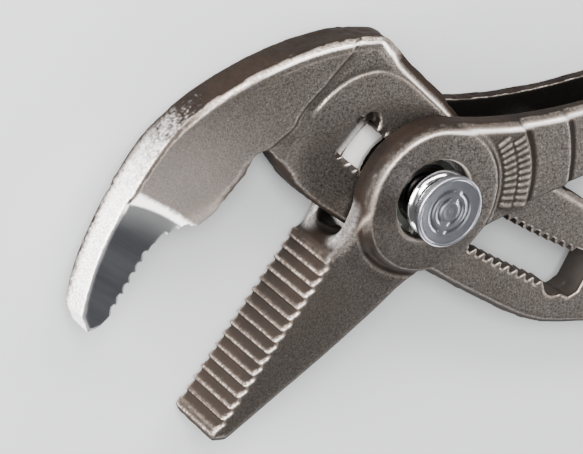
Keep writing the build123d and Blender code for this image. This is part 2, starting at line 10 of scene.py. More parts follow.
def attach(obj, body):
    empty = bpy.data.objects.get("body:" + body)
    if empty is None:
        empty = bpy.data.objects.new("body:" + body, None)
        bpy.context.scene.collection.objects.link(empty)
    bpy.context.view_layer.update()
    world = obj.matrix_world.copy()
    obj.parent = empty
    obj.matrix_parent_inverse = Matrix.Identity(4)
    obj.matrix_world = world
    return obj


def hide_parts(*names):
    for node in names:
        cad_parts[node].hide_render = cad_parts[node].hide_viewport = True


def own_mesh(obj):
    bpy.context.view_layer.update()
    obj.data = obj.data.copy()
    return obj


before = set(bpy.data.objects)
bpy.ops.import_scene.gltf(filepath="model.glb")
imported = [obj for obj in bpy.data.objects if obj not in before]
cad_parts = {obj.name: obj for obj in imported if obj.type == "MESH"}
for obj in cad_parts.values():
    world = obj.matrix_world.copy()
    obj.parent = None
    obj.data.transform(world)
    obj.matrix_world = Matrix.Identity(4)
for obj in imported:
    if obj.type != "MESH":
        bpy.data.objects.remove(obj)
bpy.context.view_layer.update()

MM = 0.001
Z_MID = 12.0                    # mid-plane of the tool above the floor, mm

# ------------------------------------------------------------------ camera
IMG_W, IMG_H = 583, 454
TILT, PHI, PSI = math.radians(41.4), math.radians(38.5), math.radians(32.0)
FOCAL_PX, MM_PX, DISC_H = 3385.0, 0.2725, 14.0
u2 = np.array([math.cos(PHI), math.sin(PHI)])
p0 = np.array([434.9, 203.2]) - DISC_H * math.sin(TILT) / MM_PX * u2 + np.array([-1.2, -1.6])
dist = FOCAL_PX * MM_PX
P0 = dist * np.array([(p0[0] - 291.5) / FOCAL_PX, (p0[1] - 227.0) / FOCAL_PX, 1.0])
NRM = np.array([math.sin(TILT) * math.cos(PHI), math.sin(TILT) * math.sin(PHI), -math.cos(TILT)])
EU = np.array([math.cos(TILT) * math.cos(PHI), math.cos(TILT) * math.sin(PHI), math.sin(TILT)])
EV = np.array([math.sin(PHI), -math.cos(PHI), 0.0])
AX = EU * math.cos(PSI) + EV * math.sin(PSI)
AY = -EU * math.sin(PSI) + EV * math.cos(PSI)
ROT = np.stack([AX, AY, NRM], 1)

cam_data = bpy.data.cameras.new("camera")
cam_data.sensor_fit = "HORIZONTAL"
cam_data.sensor_width = 36.0
cam_data.lens = 36.0 * FOCAL_PX / IMG_W
cam_data.clip_start, cam_data.clip_end = 0.01, 20.0
cam = bpy.data.objects.new("camera", cam_data)
bpy.context.scene.collection.objects.link(cam)
right, up, back = ROT.T @ (1, 0, 0), -(ROT.T @ (0, 1, 0)), -(ROT.T @ (0, 0, 1))
loc = (-(ROT.T @ P0) + np.array([0, 0, Z_MID])) * MM
cam.matrix_world = Matrix(((right[0], up[0], back[0], loc[0]), (right[1], up[1], back[1], loc[1]),
                           (right[2], up[2], back[2], loc[2]), (0, 0, 0, 1)))
bpy.context.scene.camera = cam

# ------------------------------------------------- slot coordinates (mm)
SLOT_R, SLOT_TAN = 400.0, math.radians(28.3)
SC = np.array([SLOT_R * math.sin(SLOT_TAN), SLOT_R * math.cos(SLOT_TAN)])
A0 = math.atan2(-SC[1], -SC[0])


def slot_coords(x, y):
    """Arc length along the slot from the pivot, and the offset towards the slot centre."""
    return (np.arctan2(y - SC[1], x - SC[0]) - A0) * SLOT_R, SLOT_R - np.hypot(x - SC[0], y - SC[1])


def smooth(a, b, x):
    t = np.clip((x - a) / (b - a), 0.0, 1.0)
    return t * t * (3 - 2 * t)


def line_dist(x, y, pts):
    """Distance from points to an open polyline."""
    best = np.full(np.shape(x), 1e9)
    for (ax, ay), (bx, by) in zip(pts[:-1], pts[1:]):
        dx, dy = bx - ax, by - ay
        t = np.clip(((x - ax) * dx + (y - ay) * dy) / (dx * dx + dy * dy), 0, 1)
        best = np.minimum(best, np.hypot(x - ax - t * dx, y - ay - t * dy))
    return best


def lattice(ix, iy, iz, seed):
    n = (ix * 73856093) ^ (iy * 19349663) ^ (iz * 83492791) ^ (seed * 2654435761)
    n = (n ^ (n >> 13)) * 1274126177 & 0xFFFFFFFF
    return ((n ^ (n >> 16)) & 0xFFFF) / 65535.0


def noise3(p, cell, seed):
    """Smooth value noise in 0..1 with the given cell size in mm."""
    q = p / cell
    i = np.floor(q).astype(np.int64)
    f = q - i
    f = f * f * (3 - 2 * f)
    out = 0.0
    for dx in (0, 1):
        for dy in (0, 1):
            for dz in (0, 1):
                w = (f[:, 0] if dx else 1 - f[:, 0]) * (f[:, 1] if dy else 1 - f[:, 1]) * (f[:, 2] if dz else 1 - f[:, 2])
                out = out + w * lattice(i[:, 0] + dx, i[:, 1] + dy, i[:, 2] + dz, seed)
    return out


# ------------------------------------------------------ forged-skin meshes
PAINTED_LIGHT_SIDE = np.array([-0.46, 0.72, 0.52])      # direction of the painted light: edges turned towards it get painted sheen, faces turned away get painted shade


class Skin:
    """Dense copy of a CAD node that is shaped and smoothed like a forging. Points are in mm from the mid-plane."""

    def __init__(self, node, voxel):
        bm = bmesh.new()
        bm.from_mesh(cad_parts[node].data)
        bmesh.ops.remove_doubles(bm, verts=bm.verts, dist=2e-6)
        bmesh.ops.recalc_face_normals(bm, faces=bm.faces)
        tree = BVHTree.FromBMesh(bm)
        self.near, self.far = [], []
        for e in bm.edges:
            if len(e.link_faces) != 2 or not e.is_convex:
                continue
            fa, fb = e.link_faces
            if abs(fa.normal.z) < abs(fb.normal.z):
                fa, fb = fb, fa
            if abs(fa.normal.z) < 0.9 or abs(fb.normal.z) > 0.4:
                continue
            out = Vector((fb.normal.x, fb.normal.y, 0.0)).normalized()
            mid = 0.5 * (e.verts[0].co + e.verts[1].co) - 0.0004 * out
            wall = 0.0
            for depth in (0.4, 1.0, 1.8, 2.6, 3.4, 4.2):
                hit = tree.ray_cast(mid - Vector((0, 0, math.copysign(depth * MM, fa.normal.z))), out, 0.0012)
                if hit[0] is None:
                    break
                wall = depth
            seg = [(v.co.x / MM, v.co.y / MM) for v in e.verts]
            item = (seg[0], seg[1], e.verts[0].co.z / MM - Z_MID, wall)
            (self.near if fa.normal.z > 0 else self.far).append(item)
        me = bpy.data.meshes.new("tmp")
        bm.to_mesh(me)
        bm.free()
        ob = bpy.data.objects.new("tmp", me)
        bpy.context.scene.collection.objects.link(ob)
        mod = ob.modifiers.new("skin", "REMESH")
        mod.mode, mod.voxel_size, mod.adaptivity = "VOXEL", voxel * MM, 0.0
        dg = bpy.context.evaluated_depsgraph_get()
        dg.update()
        self.mesh = bpy.data.meshes.new_from_object(ob.evaluated_get(dg))
        bpy.data.objects.remove(ob)
        bpy.data.meshes.remove(me)
        n = len(self.mesh.vertices)
        co = np.empty(n * 3)
        self.mesh.vertices.foreach_get("co", co)
        self.p = co.reshape(-1, 3) / MM - (0, 0, Z_MID)
        ed = np.empty(len(self.mesh.edges) * 2, np.int32)
        self.mesh.edges.foreach_get("vertices", ed)
        ed = ed.reshape(-1, 2)
        self.ea, self.eb = np.concatenate([ed[:, 0], ed[:, 1]]), np.concatenate([ed[:, 1], ed[:, 0]])
        self.deg = np.maximum(np.bincount(self.ea, minlength=n), 1)

    def mean(self, q):
        n = len(q)
        return np.stack([np.bincount(self.ea, weights=q[self.eb, k], minlength=n) for k in range(q.shape[1])], 1) / self.deg[:, None]

    def relax(self, weight, rounds, rate=0.5):
        idx = np.flatnonzero(weight > 1e-3)
        slot = np.full(len(self.p), -1)
        slot[idx] = np.arange(len(idx))
        pick = slot[self.ea] >= 0
        a, b = slot[self.ea[pick]], self.eb[pick]
        w, deg = (weight[idx] * rate)[:, None], self.deg[idx][:, None]
        for _ in range(rounds):
            q = self.p[b]
            avg = np.stack([np.bincount(a, weights=q[:, k], minlength=len(idx)) for k in range(3)], 1) / deg
            self.p[idx] += w * (avg - self.p[idx])

    def normals(self):
        self.store()
        nv = np.empty(len(self.mesh.vertices) * 3)
        self.mesh.vertices.foreach_get("normal", nv)
        return nv.reshape(-1, 3)

    def store(self):
        self.mesh.vertices.foreach_set("co", ((self.p + (0, 0, Z_MID)) * MM).ravel())
        self.mesh.update()

    def bevel_grid(self, rims, size, step=0.25):
        """Depth of the rim bevel over the plan, as a sampler; size(x, y, z, wall) gives width and depth."""
        x0, y0 = self.p[:, 0].min() - 2, self.p[:, 1].min() - 2
        nx, ny = int((self.p[:, 0].max() + 2 - x0) / step) + 2, int((self.p[:, 1].max() + 2 - y0) / step) + 2
        grid = np.zeros((ny, nx))
        far_off = np.full((ny, nx), 9.0)
        for a, b, z, wall in rims:
            w, c = size(0.5 * (a[0] + b[0]), 0.5 * (a[1] + b[1]), z, wall)
            if c <= 0:
                continue
            reach = 6.0 if c > 1.4 else w
            i0, i1 = int((min(a[0], b[0]) - reach - x0) / step), int((max(a[0], b[0]) + reach - x0) / step) + 2
            j0, j1 = int((min(a[1], b[1]) - reach - y0) / step), int((max(a[1], b[1]) + reach - y0) / step) + 2
            i0, j0, i1, j1 = max(i0, 0), max(j0, 0), min(i1, nx), min(j1, ny)
            gx, gy = np.meshgrid(x0 + np.arange(i0, i1) * step, y0 + np.arange(j0, j1) * step)
            d = line_dist(gx, gy, [a, b]) if a != b else np.hypot(gx - a[0], gy - a[1])
            drop = c * np.clip(1 - d / w, 0, 1) ** 1.2
            sub = grid[j0:j1, i0:i1]
            np.maximum(sub, drop, out=sub)
            if c > 1.4:
                sub = far_off[j0:j1, i0:i1]
                np.minimum(sub, d, out=sub)

        def sampler(g):
            def sample(x, y):
                fx, fy = (x - x0) / step, (y - y0) / step
                i, j = np.clip(fx.astype(int), 0, nx - 2), np.clip(fy.astype(int), 0, ny - 2)
                fx, fy = fx - i, fy - j
                return (g[j, i] * (1 - fx) * (1 - fy) + g[j, i + 1] * fx * (1 - fy)
                        + g[j + 1, i] * (1 - fx) * fy + g[j + 1, i + 1] * fx * fy)
            return sample
        return sampler(grid), sampler(far_off)

    def roughen(self, amount, lumps):
        nv = self.normals()
        side = lumps * smooth(0.75, 0.35, np.abs(nv[:, 2]))
        h = smooth(0.42, 0.75, noise3(self.p, 2.1, 11)) + 0.5 * smooth(0.45, 0.75, noise3(self.p, 4.4, 13))
        self.p -= nv * (side * h)[:, None]
        h = 0.60 * (noise3(self.p, 6.5, 3) - 0.5) + 0.30 * (noise3(self.p, 2.6, 5) - 0.5) + 0.16 * (noise3(self.p, 1.1, 7) - 0.5)
        self.p += nv * (amount * h - 0.25 * amount)[:, None]

    def finish(self, name, body, node, masks):
        """Adds the shading attributes and puts the piece on its body."""
        nv = self.normals()
        soft = self.p.copy()
        for _ in range(5):
            soft = self.mean(soft)
        bend = np.einsum("ij,ij->i", self.p - soft, nv)
        soft = self.p.copy()
        for _ in range(40):
            soft = self.mean(soft)
        broad = np.einsum("ij,ij->i", self.p - soft, nv)
        # convex edges and ridges are lightened only where they face the painted light: wear plus painted sheen
        shine = smooth(-0.20, 0.35, nv[:, :2] @ PAINTED_LIGHT_SIDE[:2])
        # pit and hollow mark concave spots that the material darkens as painted shade
        layers = {"wear_and_sheen": shine * np.clip(bend / 0.10, 0, 1), "pit": np.clip(-bend / 0.10, 0, 1),
                  "ridge": shine * np.clip(broad / 0.5, 0, 1), "hollow": np.clip(-broad / 0.5, 0, 1)}
        extra = masks(self.p, nv)
        layers["wear_and_sheen"] = layers["wear_and_sheen"] * extra.pop("wear_k", 1.0)
        layers["ridge"] = layers["ridge"] * extra.pop("ridge_k", 1.0)
        layers.update(extra)
        for key, val in layers.items():
            at = self.mesh.attributes.new(key, "FLOAT", "POINT")
            at.data.foreach_set("value", np.ascontiguousarray(val, dtype=np.float32))
        self.p[:, 2] = np.maximum(self.p[:, 2], -Z_MID + 0.001)
        self.store()
        self.mesh.shade_smooth()
        self.mesh.materials.clear()
        self.mesh.name = name
        ob = bpy.data.objects.new(name, self.mesh)
        bpy.context.scene.collection.objects.link(ob)
        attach(ob, body)
        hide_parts(node)
        return ob


# ---------------------------------------------------------- hook jaw forging
V_LINE = [(-70.4, -9.9), (-80.4, -15.4), (-88.6, -35.6)]
hook = Skin("hook_jaw_arm", 0.36)


def ground_side(x, y):
    """Positive inside the ground flank of the jaw tip, in mm past its upper edge."""
    p = np.array([(-104.0, -0.6), (-85.0, -2.4), (-66.0, -12.6)])
    a = np.array([[2 * (p[1] - p[0])[0], 2 * (p[1] - p[0])[1]], [2 * (p[2] - p[0])[0], 2 * (p[2] - p[0])[1]]])
    b = np.array([(p[1] ** 2).sum() - (p[0] ** 2).sum(), (p[2] ** 2).sum() - (p[0] ** 2).sum()])
    c = np.linalg.solve(a, b)
    r = math.hypot(*(p[0] - c))
    return r - np.hypot(x - c[0], y - c[1])


def hook_rim(x, y, z, wall):
    if wall < 3.0:
        return 0.0, 0.0
    s, off = slot_coords(x, y)
    if abs(off) < 10.2 and -36 < s < 76:
        return 0.55, 0.38
    if line_dist(np.array(x), np.array(y), V_LINE) < 2.4:
        return 0.5, 0.35
    if y < -33 and x < -80:
        return 1.2, 0.8
    if x < -60 and y > -36 and (y > 8 or x < -84):
        k = float(smooth(8.0, 24.0, y))
        return 0.8 + 0.9 * k, 0.5 + 1.1 * k
    if y > 12 and -60 < x < -17.5 and not (x < -47 and y < 14):
        return 1.9, 1.8
    if y > 12 and -17.5 <= x < 14:
        return 2.6, 1.7
    if x < -46:
        return 0.9, 0.55
    if x < 14:
        return 1.8, 1.2
    return 2.0, 1.5


def hook_rim_far(x, y, z, wall):
    w, c = hook_rim(x, y, z, wall)
    return (1.1, 0.9) if c > 1.3 else (w, c)


(near_drop, near_off), (far_drop, far_off) = hook.bevel_grid(hook.near, hook_rim), hook.bevel_grid(hook.far, hook_rim_far)
x, y, z = hook.p.T
rim_d = near_off(x, y)
crease = 0.20 * np.exp(-((rim_d - 2.75) / 0.35) ** 2) * smooth(-17, -22, x)
drop = np.where(z > 0, near_drop(x, y) + crease, far_drop(x, y))
g = ground_side(x, y)
flank = (np.abs(z) > 4.5) & (x < -63) & (g > -1.4) & (g < 2.6)
t = np.clip((g + 1.2) / 3.4, 0, 1)
hook.p[:, 2] = np.where(flank, np.sign(z) * (5.75 - 1.0 * t ** 1.7), z)
z = hook.p[:, 2].copy()
hook.p[:, 2] -= np.sign(z) * drop * np.clip(np.abs(z) / 5.75, 0, 1)
left_rim = [(a, b) for a, b, rz, wall in hook.near if wall >= 3.0 and a[0] < -58 and -8 < a[1] < 36 and (a[1] > 8 or a[0] < -84)]
part = np.flatnonzero((x < -54) & (y > -10) & (z > 2.5))
left_d = np.full(len(x), 9.0)
for a, b in left_rim:
    left_d[part] = np.minimum(left_d[part], line_dist(x[part], y[part], [a, b]))
# painted shade line along the crease beside the left wall's rim
left_crease_shade = smooth(0.05, 0.40, left_d) * smooth(1.75, 1.05, left_d + 0.5 * (noise3(hook.p, 1.1, 37) - 0.5)) * smooth(28.0, 18.0, y) * smooth(-7.0, -4.5, y)
slope = smooth(-19.0, -15.0, x)
band_in, band_out = 2.15 + 0.75 * slope, 0.95 + 0.85 * slope
# hook_band: painted highlight band on the inner part of the rim bevels
hook_band = np.where(z > 0, smooth(band_in, band_in - 0.38, rim_d) * smooth(band_out, band_out + 0.48, rim_d)
                     * ((1 - slope) * (0.12 + 0.88 * smooth(-68, -50, x)) + 0.72 * slope * (y > 0.3 * x)), 0.0)
# fine_line: thin painted highlight line inside the top rim
fine_line = np.where(z > 4.0, np.exp(-((rim_d - 3.5) / 0.3) ** 2) * smooth(-60, -50, x) * (1 - slope), 0.0)
# slope_out: painted shade on the outer part of the slope's bevel
slope_out = np.where(z > -2, smooth(1.9, 1.4, rim_d) * slope * (y > 0.3 * x) * (x < 16), 0.0)
STEP = [(-29.6, 42.6), (-33.9, 36.0), (-36.2, 32.6), (-38.4, 29.2), (-40.8, 26.1), (-42.9, 23.3), (-44.2, 21.0), (-44.6, 18.6),
        (-46.2, 16.4), (-48.7, 14.2), (-51.2, 11.6), (-52.9, 10.8)]
step_y, step_x = np.array([q[1] for q in STEP[::-1]]), np.array([q[0] for q in STEP[::-1]])
past = np.interp(y, step_y, step_x) - x
hook.p[:, 2] = np.where((z > 4.2) & (past > 0.0) & (past < 4.5) & (y > 11.0) & (y < 41.5) & (rim_d > 2.2), 5.75, hook.p[:, 2])
# step_line: a shallow groove and a painted shadow line along the valley step
step_line = np.where(z > 3.5, np.exp(-(line_dist(x, y, STEP) / 0.62) ** 2), 0.0)
LOBE = [(-39.2, 22.6), (-41.4, 17.0), (-42.6, 12.0), (-44.2, 7.0), (-46.6, 2.0)]
WEB_EDGE = [(-70.4, -9.9), (-68.4, -8.9), (-65.6, -6.6), (-63.0, -3.2), (-60.8, -0.2), (-58.9, 2.4), (-57.4, 5.0), (-56.6, 7.8), (-55.2, 9.8)]
SLOPE = [(-21.6, 42.0), (-18.0, 39.5), (-12.0, 35.4), (-2.0, 28.5), (6.0, 23.1)]
swell = (0.9 + 0.5 * smooth(-12.0, -17.0, x)) * smooth(2.3, 0.3, line_dist(x, y, SLOPE)) * smooth(-23.0, -18.0, x) * smooth(6.0, 1.0, x)
corner = smooth(5.0, 1.0, np.hypot(x + 22.6, y - 42.4))
hook.p[:, 0] += (1.2 + 1.0 * smooth(2.0, -5.0, z)) * corner
hook.p[:, 1] += 0.30 * corner * smooth(-2.0, 4.0, z)
hook.p[:, 0] += 0.567 * swell
hook.p[:, 1] += 0.823 * swell
ragged = noise3(np.stack([x, y, 0 * x], 1), 1.9, 41) + 0.6 * noise3(np.stack([x, y, 0 * x], 1), 0.9, 43) - 0.8
swell = (0.75 + 0.8 * ragged) * smooth(2.6, 0.5, line_dist(x, y, WEB_EDGE)) * smooth(-70.6, -68.0, x) * smooth(10.0, 7.5, y)
hook.p[:, 0] += 0.79 * swell
hook.p[:, 1] -= 0.61 * swell
lobe = np.where(np.abs(z) > 3.5, smooth(5.0, 1.5, line_dist(x, y, LOBE)), 0.0) * smooth(24.0, 19.0, y)
hook.relax(lobe, 160)
hook.p[:, 2] -= 0.35 * step_line
s, off = slot_coords(x, y)
crisp = smooth(8.2, 9.8, np.abs(off - 0.6)) + smooth(75, 77, s) + smooth(-35, -37, s)
crisp = np.clip(crisp, 0.10, 1) * np.clip(smooth(1.6, 3.0, line_dist(x, y, V_LINE)), 0.10, 1)
hook.relax(crisp, 7)
throat = smooth(-66, -60, x) * smooth(-36, -42, x) * smooth(-14, -8, y) * smooth(17, 12, y)
hook.roughen(0.14, 0.26 * (1 - throat) * np.clip(crisp - 0.1, 0, 1) * np.where(ground_side(x, y) > 1.0, 0.3, 1.0))


def hook_masks(p, nv):
    x, y, z = p.T
    s, off = slot_coords(x, y)
    up_z = np.abs(nv[:, 2])
    lit = smooth(0.0, 0.35, nv @ (PAINTED_LIGHT_SIDE * (1, 1, 0)))
    ground = smooth(2.0, 3.0, ground_side(x, y)) * smooth(0.75, 0.95, up_z) * smooth(-60, -64, x)
    mottle = 0.9 * (noise3(p, 0.55, 23) - 0.5) + 0.7 * (noise3(p, 1.5, 29) - 0.5)
    # left: painted highlight on the left-facing wall, fading to grey towards the far half
    left = smooth(-66, -76, x) * smooth(-0.1, 0.35, -nv[:, 0]) * smooth(0.75, 0.45, up_z) * smooth(22.5, -9.0, y + 14 * mottle)
    left *= 0.96 * smooth(-5.2, -1.4, z + 1.6 * mottle - 0.05 * np.minimum(y + 25.0, 0.0)) ** 1.5
    crease_shade = left_crease_shade * smooth(0.30, 0.45, nv[:, 2])
    left *= 1 - crease_shade
    cut = smooth(9.0, 8.0, np.abs(off - 0.4)) * smooth(-36, -34, s) * smooth(76, 74, s) * smooth(0.97, 0.90, up_z)
    cut = np.maximum(cut, 0.35 * smooth(2.2, 1.4, line_dist(x, y, V_LINE)) * smooth(0.55, 0.25, up_z))
    # ramp: painted highlight on the sloped left slot end, brightest at its lower left
    ramp = smooth(-23.5, -25.0, s) * smooth(-36.0, -34.5, s) * smooth(7.5, 6.5, np.abs(off - 0.6)) * smooth(0.45, 0.60, nv[:, 2]) * smooth(0.97, 0.93, nv[:, 2])
    # end: slot end wall; its upper part gets painted shade through inner
    end = smooth(64.0, 67.0, s) * smooth(76.0, 75.0, s) * smooth(10.0, 9.0, np.abs(off)) * smooth(0.60, 0.35, up_z)
    cut *= (1 - ramp) * (1 - end)
    g = ground_side(x, y)
    wide = 1.9 * smooth(-78, -96, x) + 0.7 * mottle
    # fillet: painted highlight band at the ground tip
    fillet = smooth(-0.9, 0.7, g + wide) * smooth(2.6, 2.2, g) * smooth(-62, -66, x) * smooth(0.5, 0.7, nv[:, 2])
    edge_d = line_dist(x, y, WEB_EDGE)
    # painted glow of reflected light on the face along the web edge, and a faint one along the ground flank's upper
    # edge; it feeds the band
    painted_glow = smooth(7.0, 1.5, edge_d + 1.2 * mottle) * smooth(5.0, -7.0, y) * smooth(0.80, 0.95, nv[:, 2]) * (z > 3)
    shade = smooth(2.6, 0.4, edge_d + 0.9 * mottle) * smooth(-7.0, -1.0, y) * smooth(10.5, 7.0, y) * (z > 3) * smooth(0.3, 0.6, nv[:, 2])
    painted_glow = np.maximum(painted_glow * (1 - shade), smooth(3.5, 0.5, np.abs(g + 0.6)) * 0.30 * smooth(0.9, 0.97, nv[:, 2]) * smooth(-58, -64, x) * (z > 3) * (g < 1.2))
    # band: painted highlight along the rim bevels, plus the thin line and the reflected glow
    band = hook_band * smooth(0.20, 0.40, nv[:, 2]) * np.maximum(smooth(0.985, 0.93, nv[:, 2]), smooth(9.0, 5.0, np.abs(x + 17.0)))
    band = np.maximum(band, 0.28 * fine_line * (0.4 + 0.9 * noise3(p, 3.0, 31)))
    band = np.maximum(band, 0.36 * painted_glow)
    left = np.maximum(np.maximum(left, fillet * (1 - crease_shade)), ramp * (0.05 + 0.75 * smooth(-30.0, -25.5, s) * smooth(6.0, 3.0, off)))
    # painted shade: walls, faces turned away from the light, the slope's outer bevel, the step line, the crease beside
    # the left wall and the band along the web edge
    dark = np.maximum(smooth(0.72, 0.40, up_z), smooth(0.965, 0.80, up_z) * (1 - lit))
    dark = np.maximum(np.maximum(np.maximum(dark, slope_out), 0.96 * step_line) * (1 - left) * (1 - band) * (1 - cut), np.maximum(0.95 * crease_shade, 0.88 * shade))
    # hole and slot_wall feed inner: painted shade in the blind pocket and on the upper slot wall
    hole = smooth(-32.5, -31.5, s) * smooth(-23.5, -24.5, s) * smooth(5.6, 6.2, off) * smooth(10.2, 9.4, off)
    slot_wall = smooth(9.4, 8.8, np.abs(off)) * smooth(-25.0, -23.0, s) * smooth(76, 74, s)
    # tone: painted light falloff, lighter towards the jaw on the left and darker towards the handle; on the ground
    # flank lighter near its upper edge
    return {"dark": dark, "bare": left, "ground": ground, "cut": cut, "band": band,
            "tone": np.where((g > 1.8) & (x < -61), 0.5 + 0.5 * smooth(10.5, 1.0, g),
                             0.5 + 0.42 * smooth(-35, -80, x) * smooth(30, 0, y) - 0.15 * smooth(-15, 40, x)),
            "inner": np.maximum.reduce((end * smooth(5.2, 4.2, z) * (0.74 + 0.26 * smooth(-6.0, -1.0, off)),
                                0.75 * slot_wall * smooth(1.0, 4.0, off) * smooth(0.85, 0.6, up_z), 0.9 * hole * smooth(5.4, 4.8, z))),
            "wear_k": (1 - 0.6 * np.maximum(slot_wall, hole)) * (1 - 0.9 * np.exp(-(line_dist(x, y, STEP) / 1.3) ** 2) * (z > 3.5) * (rim_d > 2.4)), "teeth": smooth(2.4, 1.6, line_dist(x, y, V_LINE))}


hook_forging = hook.finish("hook_forging", "hook_arm", "hook_jaw_arm", hook_masks)

# ----------------------------------------------------------- box jaw forging
JAW_LINE = [(-27.4, -18.4), (-52.0, -70.0)]
box = Skin("box_jaw_arm", 0.38)


def box_rim(x, y, z, wall):
    r = math.hypot(x, y)
    if r < 15:
        return 0.6, 0.45
    if abs(r - 33.0) < 0.06 or abs(r - 47.0) < 0.06 or (r < 33 and abs(z) > 12.75 and x > 15):
        return 0.0, 0.0
    if line_dist(np.array(x), np.array(y), JAW_LINE) < 2.2:
        return 0.6, 0.45
    if y < -26:
        return 2.2, 1.7
    if r < 22.4 and y > -4 and x < 21:
        return 2.3, 2.05
    if y > 0.3 * x + 6:
        return 2.3, 2.05
    if x < -18:
        return 2.4, 1.9
    return 1.4, 1.0


def box_rim_far(x, y, z, wall):
    w, c = box_rim(x, y, z, wall)
    return (1.0, 0.8) if c > 2.0 and x < 75 else (w, c)


(box_near, box_off), (box_far, _) = box.bevel_grid(box.near, box_rim), box.bevel_grid(box.far, box_rim_far)
x, y, z = box.p.T
drop = np.where(z > 0, box_near(x, y), box_far(x, y))
low = 6.05 - 4.0 * smooth(60, 72, x)
high = 10.3 - 3.8 * smooth(70, 103, x)
box.p[:, 2] -= np.sign(z) * drop * np.clip((np.abs(z) - low) / (high - low), 0, 1.15)
rim_d = box_off(x, y)
# box_band: painted highlight band along the cheek's rounded rim; box_round: the rim rounding, painted shade in the dark
# mask
box_band = np.where(z > 0, np.exp(-((rim_d - 2.0) / (0.42 + 0.22 * smooth(-4.0, 12.0, x))) ** 2) * (rim_d < 4) * smooth(-12, -5, y), 0.0)
box_round = np.where(z > 0, smooth(2.3, 1.5, rim_d), 0.0)
r = np.hypot(x, y)
ang = np.degrees(np.arctan2(y, x))
turn = np.where(ang < 0, ang + 360, ang)
groove = smooth(21.6, 22.2, r) * smooth(24.6, 23.2, r) * smooth(178, 196, turn) * smooth(292, 272, turn) * (z > 8)
box.p[:, 2] -= 0.75 * groove
under = 0.374 * (x + 18.0) + 0.927 * (y + 15.0)
scoop = 2.3 * np.clip(1 - (z / 5.75) ** 2, 0, 1) * smooth(0.8, 0.0, under) * smooth(-7.5, -1.0, under) * smooth(-13.0, -16.0, x)
box.p[:, 0] -= 0.374 * scoop
box.p[:, 1] -= 0.927 * scoop
ribs = smooth(22.6, 23.2, r) * smooth(32.6, 32.0, r) * smooth(-9, -7, ang) * smooth(46, 44, ang) * smooth(12.4, 12.6, z)
weight = 1 - 0.88 * ribs
weight *= np.clip(smooth(1.6, 2.8, line_dist(x, y, JAW_LINE)), 0.10, 1)
weight *= 0.25 + 0.75 * smooth(14.0, 15.0, r)
box.relax(weight, 9)
saddle = smooth(11.0, 5.5, np.hypot(x + 25.0, y + 11.0)) * np.clip(smooth(0.8, 2.6, line_dist(x, y, JAW_LINE)), 0, 1) * smooth(20, 22.5, r)
box.relax(saddle, 140)
taper = smooth(7.0, 1.0, np.abs(x - 71.5)) + smooth(7.0, 1.0, np.abs(x - 102.0))
box.relax(np.clip(taper, 0, 1) * smooth(3.0, 4.5, np.abs(z)) * smooth(2.4, 3.4, np.minimum(rim_d, 9.0)), 60)
box.roughen(0.15, 0.26 * smooth(0.5, 0.95, weight) * smooth(16.0, 20.0, r) * (1 - smooth(9.0, 6.0, np.hypot(x + 25.0, y + 11.0)))
            * (0.25 + 0.75 * np.maximum(smooth(2.0, -3.0, z), smooth(50.0, 60.0, x))))


